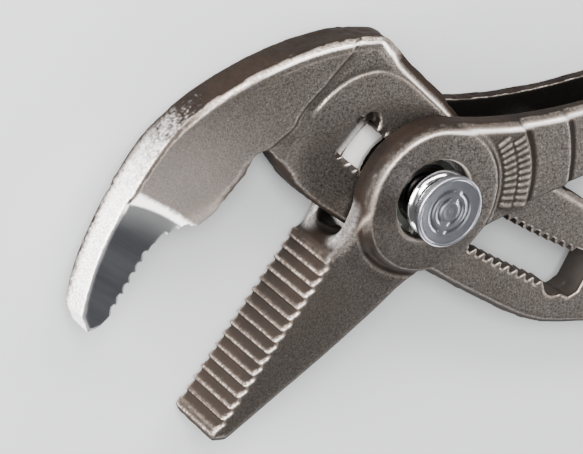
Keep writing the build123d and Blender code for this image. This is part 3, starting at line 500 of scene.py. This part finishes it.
def box_masks(p, nv):
    x, y, z = p.T
    up_z = np.abs(nv[:, 2])
    r = np.hypot(x, y)
    lit = smooth(0.0, 0.35, nv @ (PAINTED_LIGHT_SIDE * (1, 1, 0)))
    cut = smooth(13.2, 12.6, r)
    cut = np.maximum(cut, 0.04 * smooth(2.2, 1.4, line_dist(x, y, JAW_LINE)) * smooth(0.55, 0.25, up_z))
    # saddle's left-facing wall: painted highlight in the shine bands, painted shade elsewhere
    bare = smooth(11.5, 7.5, np.hypot(x + 25.5, y + 12.0)) * smooth(20, 22, r) * smooth(-0.1, 0.4, -nv[:, 0]) * smooth(0.9, 0.6, up_z)
    # shine: painted reflection bands across the saddle's left-facing wall
    shine = (0.34 * np.exp(-((z + 6.8) / 2.4) ** 2) * smooth(-17.0, -13.0, y) + 0.24 * np.exp(-((z - 6.6) / 1.7) ** 2) * smooth(-17.0, -14.0, y) * 0.7
             + 0.05 * np.exp(-((z - 9.6) / 0.9) ** 2))
    # side: the rim's painted highlight is weaker on the left side
    side = smooth(4.0, -8.0, x) * smooth(24.0, 10.0, y)
    band = box_band * smooth(0.25, 0.50, nv[:, 2]) * (0.86 - 0.50 * side + 0.30 * (noise3(p, 3.2, 17) - 0.5))
    # lip and lines: painted highlight lines on the lip of the bore
    lip = smooth(11.2, 11.6, r) * smooth(13.2, 12.8, r) * smooth(0.30, 0.50, nv[:, 2]) * smooth(0.985, 0.94, nv[:, 2]) * smooth(8.0, 10.0, z)
    lines = np.exp(-((r - 11.62) / 0.13) ** 2) + np.exp(-((r - 12.12) / 0.13) ** 2)
    band = np.maximum(band, lip * (0.10 + 0.62 * lines) * (0.45 + 0.8 * noise3(p, 4.0, 37)))
    cheek = smooth(6.5, 8.0, z) * smooth(-24.0, -18.0, y) * (1 - ribs)
    # window and bore get painted shade through inner, except the bright machined sliding face and the lip
    window = smooth(6.5, 6.2, np.abs(z)) * smooth(70, 64, x) * smooth(-1.0, 3.0, y + 0.42 * x + 25.0)
    slide = smooth(22.5, 21.0, r) * smooth(4.0, -3.0, x) * smooth(0.8, 0.95, nv[:, 2]) * smooth(-5.0, -5.6, z)
    inner = np.maximum(window, smooth(13.0, 12.4, r)) * (1 - bare * shine) * (1 - slide) * (1 - lip)
    cut *= 1 - lip
    # step: painted shadow bands at the two terrace steps
    step = np.exp(-((r - 34.1) / 1.5) ** 4) + np.exp(-((r - 48.1) / 1.3) ** 4)
    step = np.clip(step, 0, 1) * smooth(0.35, 0.55, nv[:, 2]) * smooth(8.0, 9.0, z) * smooth(14.0, 20.0, x) * (1 - box_band) * smooth(0.28 * x + 16.5, 0.28 * x + 13.5, y)
    # painted shade: walls, faces turned away from the light, terrace steps, the disc groove, the saddle wall and the
    # rim rounding
    dark = np.maximum(smooth(0.72, 0.40, up_z), smooth(0.965, 0.80, up_z) * (1 - lit))
    dark = np.maximum.reduce([dark, step, groove, 0.6 * bare, 0.72 * box_round * smooth(60.0, 40.0, x)]) * (1 - np.clip(1.6 * bare * shine, 0, 1)) * (1 - band) * (1 - cut)
    # low gets painted shade between the ribs through tone, rib_top a painted highlight on the rib tops
    low = smooth(22.3, 23.0, r) * smooth(33.0, 32.4, r) * smooth(-14, -8, ang) * smooth(62, 50, ang) * smooth(12.95, 12.7, z) * smooth(11.0, 12.0, z)
    rib_top = smooth(22.6, 23.2, r) * smooth(32.6, 32.0, r) * smooth(-9, -7, ang) * smooth(46, 44, ang) * smooth(12.95, 13.15, z)
    band = np.maximum(band, 0.30 * rib_top * smooth(0.995, 0.90, nv[:, 2]))
    # tone: darker towards the lower jaw as painted light falloff, darker between the ribs, lighter on rib tops
    return {"dark": dark, "bare": np.maximum(bare * shine, slide), "ground": np.zeros(len(p)), "cut": cut, "band": band,
            "tone": (0.42 - 0.24 * smooth(10, -30, y) - 0.30 * low + 0.25 * rib_top) * (1 - 0.7 * bare), "inner": inner,
            "teeth": smooth(2.6, 1.8, line_dist(x, y, JAW_LINE)), "wear_k": 1 - 0.72 * cheek, "ridge_k": 1 - 0.85 * cheek}


box_forging = box.finish("box_forging", "box_arm", "box_jaw_arm", box_masks)


# ------------------------------------------------------------------- grips
def make_grip(node, body, name):
    """Sleeve with a front lip, a ribbed panel on both faces and a groove along both edges."""
    g = Skin(node, 0.62)
    x, y, z = g.p.T
    bins = np.clip(((x - x.min()) / 2.0).astype(int), 0, None)
    lo, hi = np.full(bins.max() + 1, 1e9), np.full(bins.max() + 1, -1e9)
    np.minimum.at(lo, bins, y)
    np.maximum.at(hi, bins, y)
    at = x.min() + 2.0 * np.arange(len(lo)) + 1.0
    fit = np.polyfit(at[6:-8], 0.5 * (lo + hi)[6:-8], 3)
    v = (y - np.polyval(fit, x)) / np.sqrt(1 + np.polyval(np.polyder(fit), x) ** 2)
    nv = g.normals()
    outer = smooth(0.0, 0.2, nv[:, 1] * v / 13.5 + nv[:, 2] * z / 12.0) * smooth(0.9, 0.7, np.abs(nv[:, 0]))
    u, end = x - x.min(), x.max() - x
    cut = 0.55 * smooth(4.6, 6.0, u) * smooth(6.0, 9.0, end)
    face = smooth(0.55, 0.85, np.abs(nv[:, 2]))
    half = 7.0 - 1.6 * smooth(60.0, 150.0, u)
    panel = smooth(half, half - 1.0, np.abs(v)) * smooth(20.0, 22.0, u) * smooth(18.0, 20.0, end) * face
    wave = (u - 0.55 * np.abs(v)) / 5.2
    rib = smooth(0.30, 0.22, np.abs(wave - np.round(wave)))
    cut += panel * (0.62 - 0.50 * rib)
    edge = smooth(0.55, 0.30, np.abs(nv[:, 2])) * smooth(14.0, 18.0, u) * smooth(12.0, 16.0, end)
    cut += 0.45 * edge * np.exp(-(z / 1.3) ** 2)
    g.relax(outer, 3)
    g.p -= nv * (cut * outer)[:, None]
    g.relax(outer, 3)
    return g.finish(name, body, node, lambda p, n: {"rib": panel * rib * outer, "deep": outer * np.maximum(panel * (1 - rib), edge * np.exp(-(z / 1.0) ** 2))})


upper_sleeve = make_grip("upper_grip", "box_arm", "upper_sleeve")
lower_sleeve = make_grip("lower_grip", "hook_arm", "lower_sleeve")


# ------------------------------------------------------------- push button
def button_groove(r, a):
    """How far radius r and angle a lie inside the two broken ring grooves, 0 to 1."""
    open_ = smooth(0.6, 2.0, np.abs(r * np.sin(a - math.radians(79.0))))
    return open_ * sum(smooth(lo - 0.25, lo + 0.50, r) * smooth(hi + 0.25, hi - 0.50, r) for lo, hi in ((5.3, 6.7), (2.95, 4.3)))


def button_height(r, a):
    """Height of the button's top below its rim, at radius r and angle a."""
    z = np.zeros_like(r)
    z -= 0.24 * smooth(9.65, 9.15, r) + 0.14 * smooth(9.4, 6.9, r)
    z -= 0.25 * button_groove(r, a)
    z += 0.10 * smooth(3.0, 2.6, r) - 0.07 * smooth(2.3, 1.2, r)
    return z


def button_mesh():
    seg = 288
    ang = np.linspace(0, 2 * math.pi, seg, endpoint=False)
    face_r = np.concatenate([np.linspace(0.15, 9.5, 96), [9.62, 9.74, 9.86, 9.96, 10.05, 10.13, 10.19, 10.23, 10.25]])
    rounding = [0, -0.01, -0.03, -0.07, -0.12, -0.19, -0.27, -0.36, -0.48]
    verts, rings = [(0.0, 0.0, 33.05)], []
    for k, rr in enumerate(face_r):
        zz = 33.5 + button_height(np.full(seg, rr), ang) + (rounding[k - 96] if k >= 96 else 0.0)
        rings.append(np.stack([rr * np.cos(ang), rr * np.sin(ang), zz], 1))
    for rr, zz in ((10.25, 32.7), (10.25, 31.75), (10.22, 31.6), (10.14, 31.45), (10.0, 31.32), (9.8, 31.24), (9.6, 31.2),
                   (8.3, 31.2), (8.05, 31.16), (7.93, 31.05), (7.9, 30.9), (7.9, 29.05), (7.92, 28.96), (8.0, 28.92), (8.30, 28.92), (8.40, 28.91),
                   (8.49, 28.86), (8.71, 28.70), (8.92, 28.52), (9.12, 28.33), (9.29, 28.12), (9.45, 27.90), (9.59, 27.66), (9.71, 27.41),
                   (9.79, 27.18), (9.79, 27.10), (9.74, 27.03), (9.64, 27.0), (5.6, 27.0), (5.35, 27.04), (5.3, 27.2), (5.3, 27.6)):
        rings.append(np.stack([rr * np.cos(ang), rr * np.sin(ang), np.full(seg, zz)], 1))
    verts = np.concatenate([np.array(verts)] + rings)
    faces = [(0, 1 + i, 1 + (i + 1) % seg) for i in range(seg)]
    for k in range(len(rings) - 1):
        a, b = 1 + k * seg, 1 + (k + 1) * seg
        faces += [(a + i, b + i, b + (i + 1) % seg, a + (i + 1) % seg) for i in range(seg)]
    me = bpy.data.meshes.new("button_cap")
    me.from_pydata([tuple(v * MM) for v in verts], [], faces)
    me.shade_smooth()
    flat = np.hypot(verts[:, 0], verts[:, 1])
    # painted shade in the ring grooves and along a ring by the rim
    painted_groove_shade = np.where(verts[:, 2] > 32.4, button_groove(flat, np.arctan2(verts[:, 1], verts[:, 0])), 0.0)
    painted_groove_shade = np.maximum(painted_groove_shade, np.where(verts[:, 2] > 32.4, 0.45 * np.exp(-((flat - 9.2) / 0.22) ** 2), 0.0))
    me.attributes.new("painted_groove_shade", "FLOAT", "POINT").data.foreach_set("value", painted_groove_shade.astype(np.float32))
    for poly in me.polygons:
        poly.material_index = 1 if poly.center.z < 0.0312 else 0
    return me


button_cap = bpy.data.objects.new("button_cap", button_mesh())
bpy.context.scene.collection.objects.link(button_cap)
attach(button_cap, "button")
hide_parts("push_button")


# ------------------------------------------------------------- return spring
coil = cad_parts["return_spring"].data.copy()
coil.name = "coil_spring"
coil.materials.clear()
coil_spring = bpy.data.objects.new("coil_spring", coil)
bpy.context.scene.collection.objects.link(coil_spring)
coil.shade_smooth()
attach(coil_spring, "bolt")
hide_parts("return_spring")
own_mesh(coil_spring)


# ------------------------------------------------------------------ materials
class Mat:
    """Small helper for node materials in object coordinates."""

    def __init__(self, name):
        self.m = bpy.data.materials.new(name)
        self.m.use_nodes = True
        self.t = self.m.node_tree
        self.b = self.t.nodes["Principled BSDF"]
        self.co = self.t.nodes.new("ShaderNodeTexCoord").outputs["Object"]

    def node(self, kind, props=None, **inputs):
        n = self.t.nodes.new(kind)
        for k, v in (props or {}).items():
            setattr(n, k, v)
        for k, v in inputs.items():
            self.put(n.inputs[int(k[1:]) if k[0] == "i" and k[1:].isdigit() else k.replace("_", " ")], v)
        return n

    def put(self, sock, v):
        if isinstance(v, bpy.types.NodeSocket):
            self.t.links.new(v, sock)
        else:
            sock.default_value = v

    def mapped(self, scale, turn=(0, 0, 0)):
        turned = self.node("ShaderNodeMapping", Vector=self.co, Rotation=turn).outputs[0]
        return self.node("ShaderNodeMapping", Vector=turned, Scale=scale).outputs[0]

    def noise(self, scale, detail=2.0, rough=0.5, vec=None):
        return self.node("ShaderNodeTexNoise", Vector=vec or self.co, Scale=scale, Detail=detail, Roughness=rough).outputs["Fac"]

    def attr(self, name):
        return self.node("ShaderNodeAttribute", {"attribute_name": name}).outputs["Fac"]

    def math(self, op, a, b=0.0, clamp=False):
        return self.node("ShaderNodeMath", {"operation": op, "use_clamp": clamp}, i0=a, i1=b).outputs[0]

    def span(self, v, lo, hi, out_lo=0.0, out_hi=1.0):
        return self.node("ShaderNodeMapRange", {"clamp": True}, i0=v, i1=lo, i2=hi, i3=out_lo, i4=out_hi).outputs[0]

    def mix(self, fac, a, b):
        n = self.node("ShaderNodeMix", {"data_type": "RGBA", "clamp_factor": True})
        self.put(n.inputs[0], fac)
        for k, v in ((6, a), (7, b)):
            self.put(n.inputs[k], v if isinstance(v, bpy.types.NodeSocket) else (*v, 1.0))
        return n.outputs[2]

    def fmix(self, fac, a, b):
        n = self.node("ShaderNodeMix", {"data_type": "FLOAT", "clamp_factor": True})
        self.put(n.inputs[0], fac)
        self.put(n.inputs[2], a)
        self.put(n.inputs[3], b)
        return n.outputs[0]

    def bump(self, height, strength, distance, normal=None):
        n = self.node("ShaderNodeBump", Strength=strength, Distance=distance, Height=height)
        if normal is not None:
            self.put(n.inputs["Normal"], normal)
        return n.outputs[0]

    def out(self, color, metallic, rough, normal=None):
        self.put(self.b.inputs["Base Color"], color)
        self.put(self.b.inputs["Metallic"], metallic)
        self.put(self.b.inputs["Roughness"], rough)
        if normal is not None:
            self.put(self.b.inputs["Normal"], normal)
        return self.m


def forged():
    m = Mat("forged_steel")
    fine, grain, patch = m.noise(2300, 2, 0.6), m.noise(1250, 3, 0.65), m.noise(55, 4, 0.6)
    wear_and_sheen, pit, ridge, hollow = (m.attr(k) for k in ("wear_and_sheen", "pit", "ridge", "hollow"))
    dark, bare, ground, cut, band = (m.attr(k) for k in ("dark", "bare", "ground", "cut", "band"))
    tone, inner = m.attr("tone"), m.attr("inner")
    speck = m.math("ADD", m.math("MULTIPLY", fine, 0.45), m.math("MULTIPLY", grain, 0.55))
    col = m.mix(m.span(speck, 0.40, 0.60), (0.042, 0.036, 0.0315), (0.181, 0.164, 0.150))
    # painted glints: sparse bright specks in the base colour
    col = m.mix(m.span(m.noise(1700, 1, 0.5), 0.62, 0.72, 0.0, 0.32), col, (0.52, 0.49, 0.46))
    col = m.mix(m.span(patch, 0.42, 0.75, 0.0, 0.35), col, (0.125, 0.092, 0.071))
    # tone above 0.5 lightens and below 0.5 darkens the colour: painted light falloff
    col = m.mix(m.span(tone, 0.5, 1.0, 0.0, 0.75), col, m.mix(m.span(speck, 0.40, 0.60), (0.345, 0.300, 0.275), (0.560, 0.492, 0.454)))
    col = m.mix(m.span(tone, 0.5, 0.0, 0.0, 0.80), col, (0.036, 0.031, 0.027))
    # painted shade in hollows and pits
    col = m.mix(m.math("MULTIPLY", hollow, 0.75), col, (0.030, 0.024, 0.020))
    col = m.mix(m.math("MULTIPLY", pit, 0.5), col, (0.030, 0.024, 0.020))
    # painted shade colour for the dark mask, mottled brown-black
    painted_shade_col = m.mix(m.span(patch, 0.35, 0.65), (0.0036, 0.0023, 0.0016), (0.0086, 0.0051, 0.0034))
    col = m.mix(m.math("MULTIPLY", dark, 0.985), col, painted_shade_col)
    chip = m.span(grain, 0.30, 0.58, 0.5, 1.0)
    # edge colour: wear plus painted sheen on lit-side edges and the painted highlight bands
    edge = m.math("MULTIPLY", m.math("ADD", m.math("MULTIPLY", wear_and_sheen, 0.42), m.math("MULTIPLY", ridge, 0.10)), chip, True)
    edge = m.math("MULTIPLY", edge, m.math("SUBTRACT", 1.0, dark, True))
    edge = m.math("MAXIMUM", edge, m.math("MULTIPLY", m.math("MULTIPLY", wear_and_sheen, m.attr("teeth")), m.span(grain, 0.35, 0.62, 0.05, 0.42)))
    edge = m.math("MAXIMUM", edge, m.math("MULTIPLY", band, m.span(grain, 0.25, 0.5, 0.75, 1.0)))
    worn_and_sheen = m.mix(m.span(edge, 0.20, 0.65), (0.40, 0.315, 0.26), (0.87, 0.83, 0.80))
    col = m.mix(m.math("MULTIPLY", edge, 0.92), col, worn_and_sheen)
    # near-white: painted highlight on the lit walls, fillet, ramp and saddle bands, plus the bright machined sliding
    # face
    even = m.fmix(m.span(bare, 0.965, 0.995), m.span(speck, 0.41, 0.55, 0.40, 1.0), m.span(speck, 0.35, 0.60, 0.94, 1.0))
    col = m.mix(m.math("MULTIPLY", bare, even), col, (0.95, 0.905, 0.885))
    col = m.mix(m.math("MULTIPLY", cut, 0.7), col, (0.20, 0.172, 0.152))
    # inner: painted shade in the slot ends, pocket, window and bore
    col = m.mix(m.math("MULTIPLY", inner, 0.92), col, (0.022, 0.019, 0.017))
    brushed = m.noise(1.0, 3, 0.6, m.mapped((90, 4200, 300), (0, 0, math.radians(28))))
    col = m.mix(ground, col, m.mix(m.span(brushed, 0.3, 0.7), (0.150, 0.152, 0.164), (0.180, 0.182, 0.195)))
    sweep = m.noise(1.0, 2, 0.5, m.mapped((14, 260, 30), (0, 0, math.radians(28))))
    col = m.mix(m.math("MULTIPLY", ground, m.span(sweep, 0.40, 0.66, 0.0, 0.45)), col, (0.085, 0.087, 0.097))
    # ground flank lightened near its upper edge by tone: painted light
    col = m.mix(m.math("MULTIPLY", ground, m.span(tone, 0.5, 1.0, 0.0, 0.80)), col, (0.66, 0.66, 0.67))
    rough = m.span(speck, 0.3, 0.7, 0.50, 0.33)
    rough = m.fmix(m.math("MULTIPLY", edge, 0.8), rough, 0.28)
    rough = m.fmix(bare, rough, 0.50)
    rough = m.fmix(dark, rough, 0.62)
    rough = m.fmix(ground, rough, m.span(brushed, 0.3, 0.7, 0.30, 0.35))
    metal = m.fmix(m.math("MAXIMUM", bare, m.math("MULTIPLY", band, 0.6)), 1.0, 0.35)
    metal = m.fmix(dark, metal, 0.0)
    height = m.fmix(ground, speck, m.math("MULTIPLY", brushed, 0.05))
    strength = m.fmix(m.math("MAXIMUM", m.math("MULTIPLY", edge, 0.8), m.math("MULTIPLY", bare, 0.6)), 0.7, 0.12)
    strength = m.fmix(dark, strength, 0.22)
    n = m.node("ShaderNodeBump", Distance=0.00018, Height=height)
    m.put(n.inputs["Strength"], strength)
    m.b.inputs["Specular IOR Level"].default_value = 0.06
    return m.out(col, metal, rough, n.outputs[0])


def plated():
    m = Mat("plated_steel")
    fine, patch = m.noise(1800, 3, 0.6), m.noise(160, 4, 0.6)
    turned = m.noise(1.0, 3, 0.6, m.mapped((900, 900, 260)))
    col = m.mix(m.span(patch, 0.35, 0.7), (0.262, 0.270, 0.302), (0.296, 0.304, 0.338))
    # painted shade in the grooves and the ring by the rim
    col = m.mix(m.math("MULTIPLY", m.attr("painted_groove_shade"), m.span(fine, 0.3, 0.7, 0.55, 0.75)), col, (0.070, 0.073, 0.084))
    rough = m.span(m.math("ADD", m.math("MULTIPLY", turned, 0.6), m.math("MULTIPLY", patch, 0.4)), 0.3, 0.7, 0.26, 0.33)
    return m.out(col, 1.0, rough, m.bump(m.math("ADD", fine, turned), 0.02, 0.00003))


def bright(name, lo, hi, r_lo, r_hi, stretch):
    m = Mat(name)
    lines, patch = m.noise(1.0, 3, 0.6, m.mapped(stretch)), m.noise(240, 4, 0.6)
    col = m.mix(m.span(patch, 0.35, 0.68), lo, hi)
    rough = m.span(lines, 0.3, 0.7, r_lo, r_hi)
    return m.out(col, 1.0, rough, m.bump(lines, 0.12, 0.00006))


def dipped():
    m = Mat("dipped_grip")
    skin, patch, dust, scuff = m.noise(1300, 3, 0.6), m.noise(60, 4, 0.6), m.noise(420, 3, 0.7), m.noise(1.0, 3, 0.6, m.mapped((60, 700, 700)))
    rib, deep, ridge = m.attr("rib"), m.attr("deep"), m.attr("wear_and_sheen")
    col = m.mix(m.span(patch, 0.35, 0.7), (0.0050, 0.0053, 0.0061), (0.0088, 0.0092, 0.0102))
    col = m.mix(m.math("MULTIPLY", m.span(dust, 0.55, 0.8), 0.30), col, (0.040, 0.039, 0.037))
    col = m.mix(m.math("MULTIPLY", deep, m.span(dust, 0.35, 0.7, 0.15, 0.5)), col, (0.036, 0.033, 0.029))
    # scuffed ribs, plus painted sheen on edges that face the light
    worn_and_sheen = m.math("ADD", m.math("MULTIPLY", rib, 0.35), m.math("MULTIPLY", ridge, 0.5), True)
    col = m.mix(m.math("MULTIPLY", worn_and_sheen, m.span(scuff, 0.42, 0.68)), col, (0.058, 0.058, 0.060))
    rough = m.fmix(m.math("MULTIPLY", worn_and_sheen, 0.6), m.span(skin, 0.3, 0.7, 0.66, 0.50), 0.40)
    m.b.inputs["Specular IOR Level"].default_value = 0.30
    return m.out(col, 0.0, rough, m.bump(m.math("ADD", skin, m.math("MULTIPLY", dust, 0.6)), 0.35, 0.00018))


def floor_mat():
    m = Mat("floor_paper")
    fibre, cloud = m.noise(900, 4, 0.6), m.noise(3.0, 3, 0.5)
    col = m.mix(m.span(cloud, 0.3, 0.7), (0.330, 0.334, 0.339), (0.340, 0.344, 0.349))
    return m.out(col, 0.0, m.span(fibre, 0.3, 0.7, 0.86, 0.94), m.bump(fibre, 0.04, 0.0001))


STEEL, PLATED = forged(), plated()
CHROME = bright("stem_chrome", (0.36, 0.36, 0.37), (0.46, 0.46, 0.47), 0.10, 0.17, (500, 500, 2600))
BOLT = bright("bolt_steel", (0.020, 0.019, 0.018), (0.032, 0.030, 0.028), 0.30, 0.45, (1200, 1200, 1200))
JOURNAL = bright("journal_steel", (0.080, 0.084, 0.074), (0.135, 0.140, 0.126), 0.36, 0.50, (900, 900, 900))
SPRING = bright("spring_steel", (0.46, 0.45, 0.44), (0.66, 0.65, 0.64), 0.20, 0.34, (1500, 1500, 400))
GRIP = dipped()

for ob, mat in ((hook_forging, STEEL), (box_forging, STEEL), (button_cap, PLATED), (button_cap, CHROME),
                (upper_sleeve, GRIP), (lower_sleeve, GRIP), (coil_spring, SPRING)):
    ob.data.materials.append(mat)
for name, mat in (("hook_jaw_arm", STEEL), ("box_jaw_arm", STEEL), ("push_button", PLATED), ("button_stem", CHROME),
                  ("hinge_bolt", JOURNAL), ("rear_disc", BOLT), ("rear_screw", BOLT), ("toothed_lock", BOLT),
                  ("return_spring", SPRING), ("stop_washer", BOLT), ("stop_ring", BOLT), ("front_ring", SPRING),
                  ("lower_grip", GRIP), ("upper_grip", GRIP)):
    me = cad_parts[name].data
    me.materials.clear()
    me.materials.append(mat)

for name in ("hinge_bolt", "rear_disc", "rear_screw", "button_stem", "toothed_lock", "stop_washer", "stop_ring"):
    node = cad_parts[name]
    weld = node.modifiers.new("weld", "WELD")
    weld.merge_threshold = 2e-6
    round_off = node.modifiers.new("edge", "BEVEL")
    round_off.width, round_off.segments, round_off.limit_method, round_off.angle_limit = 0.00018, 2, "ANGLE", math.radians(40)
    round_off.harden_normals = True

# ------------------------------------------------------------ floor and light
bpy.ops.mesh.primitive_plane_add(size=8.0, location=(0.1, 0.0, -0.0001))
floor = bpy.context.object
floor.name = "floor"
floor.data.materials.append(floor_mat())

world = bpy.data.worlds.new("studio")
world.use_nodes = True
world.node_tree.nodes["Background"].inputs["Color"].default_value = (1.0, 1.0, 1.0, 1.0)
world.node_tree.nodes["Background"].inputs["Strength"].default_value = 0.24
bpy.context.scene.world = world


def softbox(name, direction, distance, size_x, size_y, watts, tint=(1, 1, 1)):
    light = bpy.data.lights.new(name, "AREA")
    light.shape, light.size, light.size_y = "RECTANGLE", size_x, size_y
    light.energy, light.color = watts, tint
    ob = bpy.data.objects.new(name, light)
    d = Vector(direction).normalized()
    ob.location = d * distance
    ob.rotation_euler = (-d).to_track_quat("-Z", "Y").to_euler()
    bpy.context.scene.collection.objects.link(ob)
    return ob


softbox("key", (-0.52, 0.40, 0.76), 1.3, 0.5, 0.5, 46.0)
softbox("top_strip", (-0.10, 0.80, 0.55), 1.2, 1.7, 0.28, 42.0, (1.0, 0.985, 0.965))
softbox("left_box", (-0.97, 0.10, 0.22), 0.9, 0.7, 0.35, 42.0)
softbox("front_card", (0.15, -0.95, 0.15), 0.9, 0.9, 0.25, 14.0)
softbox("right_strip", (0.89, -0.06, 0.45), 1.2, 0.9, 0.10, 12.0)
softbox("overhead", (-0.2, -0.2, 0.95), 1.6, 1.0, 1.0, 8.0)
